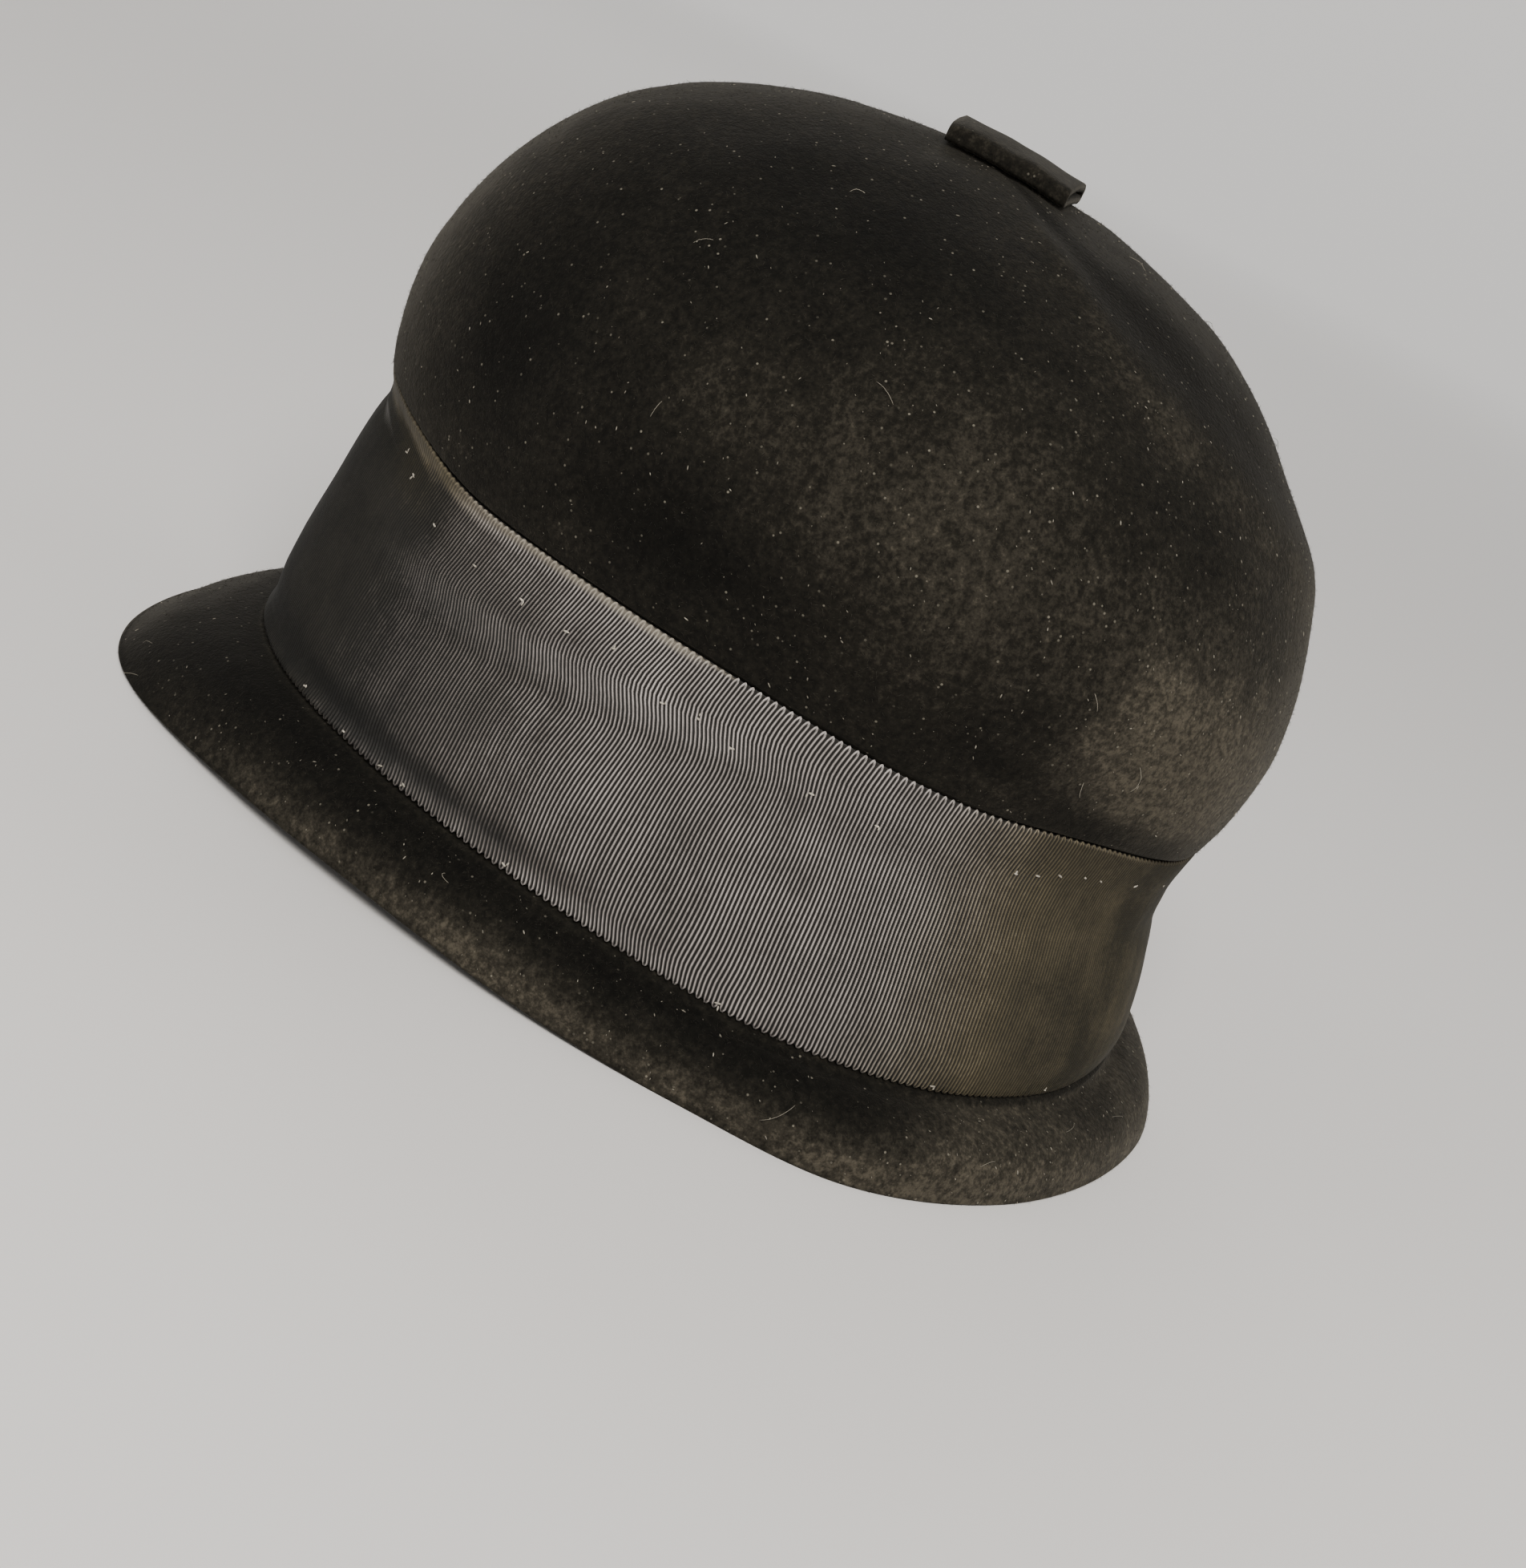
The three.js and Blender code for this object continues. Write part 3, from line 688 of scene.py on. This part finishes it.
outer_rows, rib_crest_highlight_rows, rib_highlight_strength_rows, ribbon_tone_and_painted_light_rows, uv_rows, olive_rows = [], [], [], [], [], []
for s in S_OUT:
    t = t_cols + ribbon_sway(s, t_cols) / (LENGTH / (2 * PI))
    vv = ribbon_row(s, t)
    p = base(vv, t)
    n = normal(vv, t)
    d = deg(t)
    edge = min(s, 1 - s)
    # ribs sink into a smooth selvedge along the upper front edge
    strip = np.interp(d, [0, 24, 36, 46, 60, 76, 84], [0.125, 0.12, 0.09, 0.052, 0.038, 0.030, 0.0])
    selvedge = smooth(s, 1 - strip - 0.006, 1 - strip + 0.010) * (strip > 0.004)
    seam = bump(s, 1 - strip, 0.009) * (strip > 0.02)
    depth = 0.36 * (1 - 0.75 * selvedge) * (1 + 0.10 * rib_rand[rib_no])
    h = ribbon_relief(s, t, p) - depth * (1 - crest_wave)
    # rounded rib ends at both edges
    h = h - 0.30 * (1 - smooth(np.full(NC, edge), 0.0, 0.02))
    point = p + n * h[:, None]
    if edge == 0.0:
        lengthwise = base(vv + 0.05, t) - base(vv - 0.05, t)
        lengthwise /= np.linalg.norm(lengthwise, axis=1, keepdims=True)
        lw = 0.5 + 0.5 * np.cos(PI * (np.arange(NC) / PER - (0.5 if s < 0.5 else 1.5)))
        reach = (0.42 * lw - 0.36 * (1 - lw)) * (1 - 0.5 * selvedge)
        point = point + lengthwise * (reach * (1 if s > 0.5 else -1))[:, None]
    outer_rows.append(point)
    # how strongly the rib highlights and gap shade are painted: weaker over the front and back of the band and on the
    # smooth selvedge
    rib_highlight_strength = 1 - 0.72 * (1 - smooth(d, 30, 50)) - 0.54 * smooth(d, 116, 142)
    rib_highlight_strength = rib_highlight_strength * (1 - 0.62 * selvedge)
    rib_highlight_strength_rows.append(rib_highlight_strength)
    # at the edges two ribs turn into each other as one loop of weft
    at_rib = np.arange(NC) / PER
    loop = 0.5 + 0.5 * np.cos(PI * (at_rib - (0.5 if s < 0.5 else 1.5)))
    near_edge = 1 - smooth(edge, 0.0, 0.010)
    rib_crest_highlight_rows.append(crest_wave * (1 - near_edge) + np.maximum(loop, crest_wave * 0.55) * near_edge)
    tone = 0.735 + 0.06 * noise(p, 20, 31) + 0.02 * rib_rand[rib_no] + 0.05 * noise(p, 4, 33)
    # painted shade: darker over the front of the band and towards the back, and in the concave roll above the foot at
    # the front
    tone = tone - 0.50 * (1 - smooth(d, 34, 82)) - 0.16 * (1 - smooth(d, 24, 48)) - 0.30 * smooth(d, 108, 142) - 0.14 * smooth(d, 132, 156)
    tone = tone - 0.34 * (1 - smooth(d, 66, 92)) * bump(s, 0.13, 0.055)
    tone = tone + 0.10 * (1 - smooth(d, 70, 95)) * smooth(d, 34, 55) * bump(s, 0.92, 0.10)
    tone = tone + (0.28 + 0.10 * (1 - smooth(d, 30, 50))) * selvedge + 0.28 * seam + (0.22 + 0.16 * smooth(d, 112, 132)) * (1 - smooth(edge, 0.0, 0.012))
    tone = tone + buckle_tone(s, d)
    ribbon_tone_and_painted_light_rows.append(np.clip(tone, 0, 1))
    olive = np.clip(smooth(d, 108, 134) + (1 - smooth(d, 34, 52)) * (0.35 + 0.65 * smooth(s, 0.72, 0.86)) + 0.6 * selvedge, 0, 1)
    olive_rows.append(olive)
    uv_rows.append(np.stack([np.arange(NC) / PER, np.full(NC, s * WIDTH)], 1))

# the inner face is smooth and follows the outer one, so the ribbon stays one cloth thick
inner_rows = []
S_IN = (1.0, 0.90, 0.70, 0.45, 0.20, 0.0)
for s in S_IN:
    t = t_cols + ribbon_sway(s, t_cols) / (LENGTH / (2 * PI))
    vv = ribbon_row(s, t)
    p = base(vv, t)
    n = normal(vv, t)
    inner_rows.append(p + n * (-0.98))
ribbon_points = np.concatenate(outer_rows + inner_rows)
total_rows = len(outer_rows) + len(inner_rows)
rib_crest_highlight_all = np.concatenate(rib_crest_highlight_rows + [np.full(NC, 0.3)] * len(inner_rows))
ribbon_tone_and_painted_light_all = np.concatenate(ribbon_tone_and_painted_light_rows + [np.full(NC, 0.4)] * len(inner_rows))
uv_all = np.concatenate(uv_rows + [np.stack([np.arange(NC) / PER, np.full(NC, s * WIDTH)], 1) for s in S_IN])
ribbon = new_mesh("ribbon_grosgrain_band", ribbon_points, ring_faces(total_rows, NC, close=True),
                  {"rib_crest_highlight": rib_crest_highlight_all, "tone": ribbon_tone_and_painted_light_all,
                   "rib_highlight_strength": np.concatenate(rib_highlight_strength_rows + [np.full(NC, 0.5)] * len(inner_rows)),
                   "olive": np.concatenate(olive_rows + [np.full(NC, 0.5)] * len(inner_rows))}, uv_all)
ribbon.data.materials.append(ribbon_mat)
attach(ribbon, "root")
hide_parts("ribbon_band")

# ----------------------------------------------------------- tack stitches
def capsule(centre, along, side, out_dir, length, width, height, around=8, steps=6):
    pts, faces = [], []
    for k in range(steps + 1):
        x = -1 + 2 * k / steps
        rr = math.sqrt(max(0.0, 1 - x * x)) if k not in (0, steps) else 0.0
        if k in (0, steps):
            pts.append(centre + along * (x * length / 2))
            continue
        for m in range(around):
            c, s_ = math.cos(2 * PI * m / around), math.sin(2 * PI * m / around)
            pts.append(centre + along * (x * length / 2) + side * (c * rr * width / 2) + out_dir * (s_ * rr * height / 2))
    last_pt = len(pts) - 1
    for m in range(around):
        q = (m + 1) % around
        faces.append((0, 1 + q, 1 + m))
        faces.append((last_pt, 1 + (steps - 2) * around + m, 1 + (steps - 2) * around + q))
    for k in range(steps - 2):
        for m in range(around):
            q = (m + 1) % around
            i0, i1 = 1 + k * around, 1 + (k + 1) * around
            faces.append((i0 + m, i0 + q, i1 + q))
            faces.append((i0 + m, i1 + q, i1 + m))
    return np.array(pts), faces


def ribbon_frame(s, t):
    v = float(ribbon_row(s, t))
    p = base(v, t)
    n = normal(v, t)
    across = base(v + 0.05, t) - base(v - 0.05, t)
    across = across / np.linalg.norm(across)
    along = np.cross(across, n)
    return p, n, along / np.linalg.norm(along), across


rng = np.random.default_rng(23)
# turn in degrees and share of the width, worked with a needle from the left side
TACKS = [(34, .845), (38, .84), (46, .825), (54, .82), (61, .82), (67, .82), (72, .86), (78.5, .80), (82, .82), (86, .80),
         (96, .81), (106, .82), (127.5, .81), (131, .81), (134.5, .82), (139, .83), (142.5, .83), (152, .84), (163, .84), (174, .84)]
LOW_TACKS = [(40, .045), (49, .03), (55.5, .03), (59, .035), (72, .03), (96, .03), (128, .03), (150, .03)]
solids = []
for sign in (1, -1):
    for d, s in TACKS + LOW_TACKS:
        if sign < 0:
            d = d + rng.uniform(-2.5, 2.5)
            s = s + rng.uniform(-0.008, 0.008)
        t = sign * math.radians(d)
        p, n, along, across = ribbon_frame(s, t)
        relief = float(ribbon_relief(np.array([s]), np.array([t]), p[None])[0])
        turn = rng.uniform(-0.5, 0.5)
        d1 = along * math.cos(turn) + across * math.sin(turn)
        d2 = np.cross(n, d1)
        size = rng.uniform(0.75, 1.25)
        c, f = capsule(p + n * (relief - 0.08), d1, d2, n, 1.25 * size, 0.42, 0.42)
        solids.append((c, f, rng.uniform(0.0, 0.9)))
        if rng.random() < 0.6:     # a second pass of the needle beside it
            q = p + along * rng.uniform(-0.9, 0.9) + across * rng.uniform(-0.9, 0.9)
            c, f = capsule(q + n * (relief - 0.10), d2, d1, n, 0.9 * size, 0.36, 0.36)
            solids.append((c, f, rng.uniform(0.0, 0.7)))
stitches = joined("tack_stitches", solids)
stitches.data.materials.append(stitch_mat)
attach(stitches, "root")

# --------------------------------------------------------------- crown tab
TAB_HALF, TAB_FRONT, TAB_BACK, PLY, SLIT = 16.0, -7.5, 19.5, 1.9, 0.6
section_n = 72
TAB_BASE, TAB_TALL = 0.45, 4.6
mid_z, half_z = TAB_BASE + TAB_TALL / 2, TAB_TALL / 2


def tab_ring(y, half_w, half_t, soft):
    ring = []
    for m in range(section_n):
        ang = 2 * PI * m / section_n
        c, s_ = math.cos(ang), math.sin(ang)
        x = half_w * math.copysign(abs(c) ** (0.22 + 0.3 * soft), c)
        w = half_t * math.copysign(abs(s_) ** (0.55 + 0.2 * soft), s_)
        wob = 0.16 * math.sin(x * 0.33 + 1.1) + 0.10 * math.sin(y * 0.5 + x * 0.2) if w > 0 else 0.0
        ring.append((x + 0.20 * math.sin(y * 0.45), y, crown_z(x, max(min(y, 40), -40)) + mid_z + w + wob))
    return ring


# the folded front end, the roll itself, its cut back end and the slot inside it
rings = []
for k in np.linspace(0.12, 1, 9)[:-1]:
    g = math.sin(k * PI / 2)
    rings.append(tab_ring(TAB_FRONT + 2.3 * (1 - math.sqrt(max(0.0, 1 - (1 - k) ** 2))), TAB_HALF - 1.2 * (1 - g), half_z * (0.25 + 0.75 * g), 1 - k))
for y in np.linspace(TAB_FRONT + 2.3, TAB_BACK - 0.5, 26):
    rings.append(tab_ring(y, TAB_HALF, half_z, 0.0))
rings.append(tab_ring(TAB_BACK - 0.15, TAB_HALF - 0.12, half_z - 0.12, 0.0))
rings.append(tab_ring(TAB_BACK, TAB_HALF - 0.5, half_z - 0.5, 0.0))
rings.append(tab_ring(TAB_BACK, TAB_HALF - 1.3, half_z - 1.35, 0.2))
rings.append(tab_ring(TAB_BACK - 0.3, TAB_HALF - 1.8, 0.45, 0.3))
for y in (TAB_BACK - 2, TAB_BACK - 5, TAB_BACK - 9):
    rings.append(tab_ring(y, TAB_HALF - 2.0, 0.34, 0.3))
tab_pts = np.concatenate([np.array(q) for q in rings])
n_rings = len(rings)
tab_faces = [tuple(int(k) for k in q) for q in ring_faces(n_rings, section_n)]
tab_pts = np.concatenate([tab_pts, [np.mean(rings[0], 0)], [np.mean(rings[-1], 0)]])
for i in range(section_n):
    j = (i + 1) % section_n
    tab_faces.append((len(tab_pts) - 2, j, i))
    tab_faces.append((len(tab_pts) - 1, (n_rings - 1) * section_n + i, (n_rings - 1) * section_n + j))
mesh = bpy.data.meshes.new("crown_tab_felt")
mesh.from_pydata((tab_pts * MM).tolist(), [], tab_faces)
mesh.update()
mesh.polygons.foreach_set("use_smooth", np.ones(len(mesh.polygons), dtype=bool))
tab = bpy.data.objects.new("crown_tab_felt", mesh)
bpy.context.collection.objects.link(tab)
tab.data.materials.append(felt_tab)
bm = bmesh.new()
bm.from_mesh(mesh)
bmesh.ops.recalc_face_normals(bm, faces=bm.faces)
bm.to_mesh(mesh)
bm.free()
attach(tab, "root")
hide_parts("crown_tab")

# ------------------------------------------------------ nap, lint and hairs
def above_floor(groups):
    """Lifts each small solid that would reach under the floor."""
    low = groups[..., 2].min(-1, keepdims=True)
    groups[..., 2] += np.maximum(0.0, 0.05 - low)
    return groups


def spikes(name, count, seed, lo, hi, width, lean, tone_scale, sample, mat):
    """Short fibres: long thin closed solids of four faces, rooted in the felt."""
    g = np.random.default_rng(seed)
    p, n, shade = sample(g, count)
    rand = g.normal(size=(count, 3))
    side = rand - (rand * n).sum(1, keepdims=True) * n
    side /= np.linalg.norm(side, axis=1, keepdims=True)
    aim = n * g.uniform(lean[0], lean[1], (count, 1)) + side
    aim /= np.linalg.norm(aim, axis=1, keepdims=True)
    other = np.cross(aim, n)
    other /= np.maximum(np.linalg.norm(other, axis=1, keepdims=True), 1e-9)
    third = np.cross(aim, other)
    length = g.uniform(lo, hi, (count, 1))
    w = width * g.uniform(0.7, 1.3, (count, 1))
    root = p - n * 0.10
    pts = np.stack([root + other * w, root - other * w * 0.5 + third * w * 0.87, root - other * w * 0.5 - third * w * 0.87,
                    root + aim * length], 1).reshape(-1, 3)
    pts = above_floor(pts.reshape(count, 4, 3)).reshape(-1, 3)
    at = (np.arange(count) * 4)[:, None]
    f = np.concatenate([at + np.array([[0, 1, 3]]), at + np.array([[1, 2, 3]]), at + np.array([[2, 0, 3]]), at + np.array([[0, 2, 1]])])
    # each fibre takes the painted light and shade of the felt under it, plus a random offset
    tone = np.clip(shade * tone_scale + g.uniform(-0.2, 0.2, count), 0, 1)
    piece = new_mesh(name, pts, f, {"tone": np.repeat(tone, 4)})
    piece.data.materials.append(mat)
    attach(piece, "root")
    return piece


def hood_sample(g, count, zone=None):
    """Points spread evenly over the outer felt, outside the ribbon."""
    need = count
    got_p, got_n, got_s = [], [], []
    while need > 0:
        m = need * 4 + 1000
        v = g.uniform(0.05, 23.8, m)
        t = g.uniform(0, 2 * PI, m)
        s = section(v)
        # weight by the area that a cell of rows and turns covers
        eps = 0.04
        dv = np.linalg.norm(base(np.minimum(v + eps, 23.95), t) - base(v, t), axis=1) / eps
        dt = np.linalg.norm(base(v, t + 0.01) - base(v, t), axis=1) / 0.01
        keep = (g.random(m) * 1700 < dv * dt) & ((v < 5.7) | (v > 11.25))
        if zone is not None:
            keep &= zone(v, t)
        v, t = v[keep][:need], t[keep][:need]
        p, n = felt_point(v, t)
        got_p.append(p)
        got_n.append(n)
        got_s.append(mottle_and_painted_light(v, t, p))
        need -= len(v)
    return np.concatenate(got_p), np.concatenate(got_n), np.concatenate(got_s)


spikes("nap_fibres", 46000, 3, 0.5, 1.3, 0.045, (0.25, 0.9), 1.0, hood_sample, hair_mat)


def lint_sample(g, count):
    return hood_sample(g, count)


def flecks(name, count, seed):
    """Small pale bits of lint caught in the pile."""
    g = np.random.default_rng(seed)
    p, n, shade = hood_sample(g, count, lambda v, t: g.random(len(v)) < np.interp(deg(t), [0, 60, 100, 140, 180], [0.25, 0.4, 0.75, 1, 1]))
    solids = []
    for k in range(count):
        rand = g.normal(size=3) * 0.40 + np.array([0, -0.45, 0.9])
        d1 = rand - rand.dot(n[k]) * n[k]
        d1 /= np.linalg.norm(d1)
        d2 = np.cross(n[k], d1)
        size = 0.10 + 0.17 * g.random() ** 4
        c, f = capsule(p[k] + n[k] * 0.05, d1, d2, n[k], size * g.uniform(1.6, 4.6), size, size * 0.7, around=5, steps=4)
        solids.append((above_floor(np.array(c)), f, g.random() ** 2 * 0.8))
    piece = joined(name, solids)
    piece.data.materials.append(lint_mat)
    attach(piece, "root")


flecks("lint_flecks", 1700, 5)


def long_hairs(name, seed, spots):
    """Loose hairs on the felt: fine curved tubes that are rooted in the pile."""
    g = np.random.default_rng(seed)
    solids = []
    for v0, d0, length in spots:
        t0 = math.radians(d0)
        heading = g.uniform(0, 2 * PI)
        curl = g.uniform(-0.08, 0.08)
        v, t = v0, t0
        centres = []
        steps = 16
        for k in range(steps + 1):
            vv, tt = np.array([v]), np.array([t])
            p, n = felt_point(vv, tt)
            lift = 0.12 + 0.7 * math.sin(PI * k / steps) * g.uniform(0.7, 1.0)
            centres.append(p[0] + n[0] * lift)
            dv = np.linalg.norm(base(v + 0.05, t) - base(v - 0.05, t)) / 0.1
            dt = np.linalg.norm(base(v, t + 0.01) - base(v, t - 0.01)) / 0.02
            v += math.cos(heading) * length / steps / max(dv, 1e-3)
            v = min(max(v, 0.1), 23.5)
            t += math.sin(heading) * length / steps / max(dt, 1e-3)
            heading += curl
        centres = np.array(centres)
        tan = np.gradient(centres, axis=0)
        tan /= np.linalg.norm(tan, axis=1, keepdims=True)
        ref = np.array([0.3, 0.5, 0.8])
        pts, faces = [], []
        for k in range(steps + 1):
            x = np.cross(tan[k], ref)
            x /= np.linalg.norm(x)
            y = np.cross(tan[k], x)
            w = 0.045 * (0.4 if k in (0, steps) else 1.0)
            for m in range(4):
                pts.append(centres[k] + (x * math.cos(PI / 2 * m) + y * math.sin(PI / 2 * m)) * w)
        for k in range(steps):
            for m in range(4):
                q = (m + 1) % 4
                i0, i1 = k * 4, (k + 1) * 4
                faces += [(i0 + m, i0 + q, i1 + q), (i0 + m, i1 + q, i1 + m)]
        faces += [(0, 2, 1), (0, 3, 2), (steps * 4, steps * 4 + 1, steps * 4 + 2), (steps * 4, steps * 4 + 2, steps * 4 + 3)]
        solids.append((above_floor(np.array(pts)), faces, g.random() * 0.6))
    piece = joined(name, solids)
    piece.data.materials.append(lint_mat)
    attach(piece, "root")


rng = np.random.default_rng(41)
SPOTS = [(0.6, 38, 7), (2.4, 117, 6.5), (3.0, 78, 5), (17.8, 85, 5), (15.2, 121, 3.5), (14.2, 133, 6), (1.6, 30, 3), (16.0, 66, 3.5),
         (12.9, 128, 4), (20.6, 70, 3), (18.6, 60, 4), (2.0, 140, 4)]
SPOTS += [(rng.uniform(12, 22), rng.uniform(150, 345), rng.uniform(2.5, 6)) for _ in range(16)]
SPOTS += [(rng.uniform(0.8, 4), rng.uniform(150, 345), rng.uniform(2.5, 6)) for _ in range(8)]
long_hairs("loose_hairs", 43, SPOTS)

# ------------------------------------------------------------ floor, lights
def bowl(name):
    """A pale floor that curves up all round, far from the hat."""
    profile = [(0.0, 0.0), (0.5, 0.0), (1.2, 0.0), (2.4, 0.0), (3.2, 0.0)]
    profile += [(3.2 + 1.6 * math.sin(k), 1.6 - 1.6 * math.cos(k)) for k in np.linspace(0, PI / 2, 13)[1:]]
    profile += [(4.8, 2.4)]
    n = 96
    pts, faces = [(0, 0, 0)], []
    for rad, z in profile[1:]:
        pts += [(rad * math.cos(2 * PI * i / n), rad * math.sin(2 * PI * i / n), z) for i in range(n)]
    for i in range(n):
        faces.append((0, 1 + i, 1 + (i + 1) % n))
    for k in range(len(profile) - 2):
        for i in range(n):
            j = (i + 1) % n
            faces.append((1 + k * n + i, 1 + (k + 1) * n + i, 1 + (k + 1) * n + j, 1 + k * n + j))
    mesh = bpy.data.meshes.new(name)
    mesh.from_pydata(pts, [], faces)
    mesh.update()
    mesh.polygons.foreach_set("use_smooth", np.ones(len(mesh.polygons), dtype=bool))
    o = bpy.data.objects.new(name, mesh)
    bpy.context.collection.objects.link(o)
    return o


floor = bowl("studio_floor")
m, nodes, links, shader = material("floor_pale")
shader.inputs["Base Color"].default_value = (0.66, 0.645, 0.63, 1)
shader.inputs["Roughness"].default_value = 0.9
far = nodes.new("ShaderNodeVectorMath")
far.operation = "LENGTH"
links.new(nodes.new("ShaderNodeTexCoord").outputs["Object"], far.inputs[0])
glow = nodes.new("ShaderNodeMapRange")
glow.interpolation_type = "SMOOTHSTEP"
glow.inputs["From Min"].default_value = 0.5
glow.inputs["From Max"].default_value = 3.4
glow.inputs["To Min"].default_value = 0.0
glow.inputs["To Max"].default_value = 0.44
links.new(far.outputs["Value"], glow.inputs["Value"])
shader.inputs["Emission Color"].default_value = (0.98, 0.97, 0.95, 1)
links.new(glow.outputs["Result"], shader.inputs["Emission Strength"])
floor.data.materials.append(m)

world = bpy.data.worlds.new("studio")
world.use_nodes = True
bpy.context.scene.world = world
world.node_tree.nodes["Background"].inputs[0].default_value = (1.0, 0.985, 0.97, 1)
world.node_tree.nodes["Background"].inputs[1].default_value = 0.36


def area(name, az, el, dist, size, power, colour=(1, 1, 1)):
    data = bpy.data.lights.new(name, "AREA")
    data.shape = "DISK"
    data.size = size
    data.energy = power
    data.color = colour
    o = bpy.data.objects.new(name, data)
    bpy.context.collection.objects.link(o)
    aa, ee = math.radians(az), math.radians(el)
    d = Vector((math.sin(aa) * math.cos(ee), -math.cos(aa) * math.cos(ee), math.sin(ee)))
    o.location = Vector((0, 0.0, 0.08)) + d * dist
    o.rotation_euler = d.to_track_quat("Z", "Y").to_euler()


area("key", 100, 40, 1.5, 0.7, 30, (1.0, 0.965, 0.92))
area("fill_front", 30, 35, 2.0, 1.2, 4, (0.96, 0.98, 1.0))
area("rim_back", 200, 40, 1.8, 0.9, 3.5, (1.0, 0.98, 0.95))
area("fill_right", 290, 40, 2.0, 1.2, 9, (1.0, 0.99, 0.98))
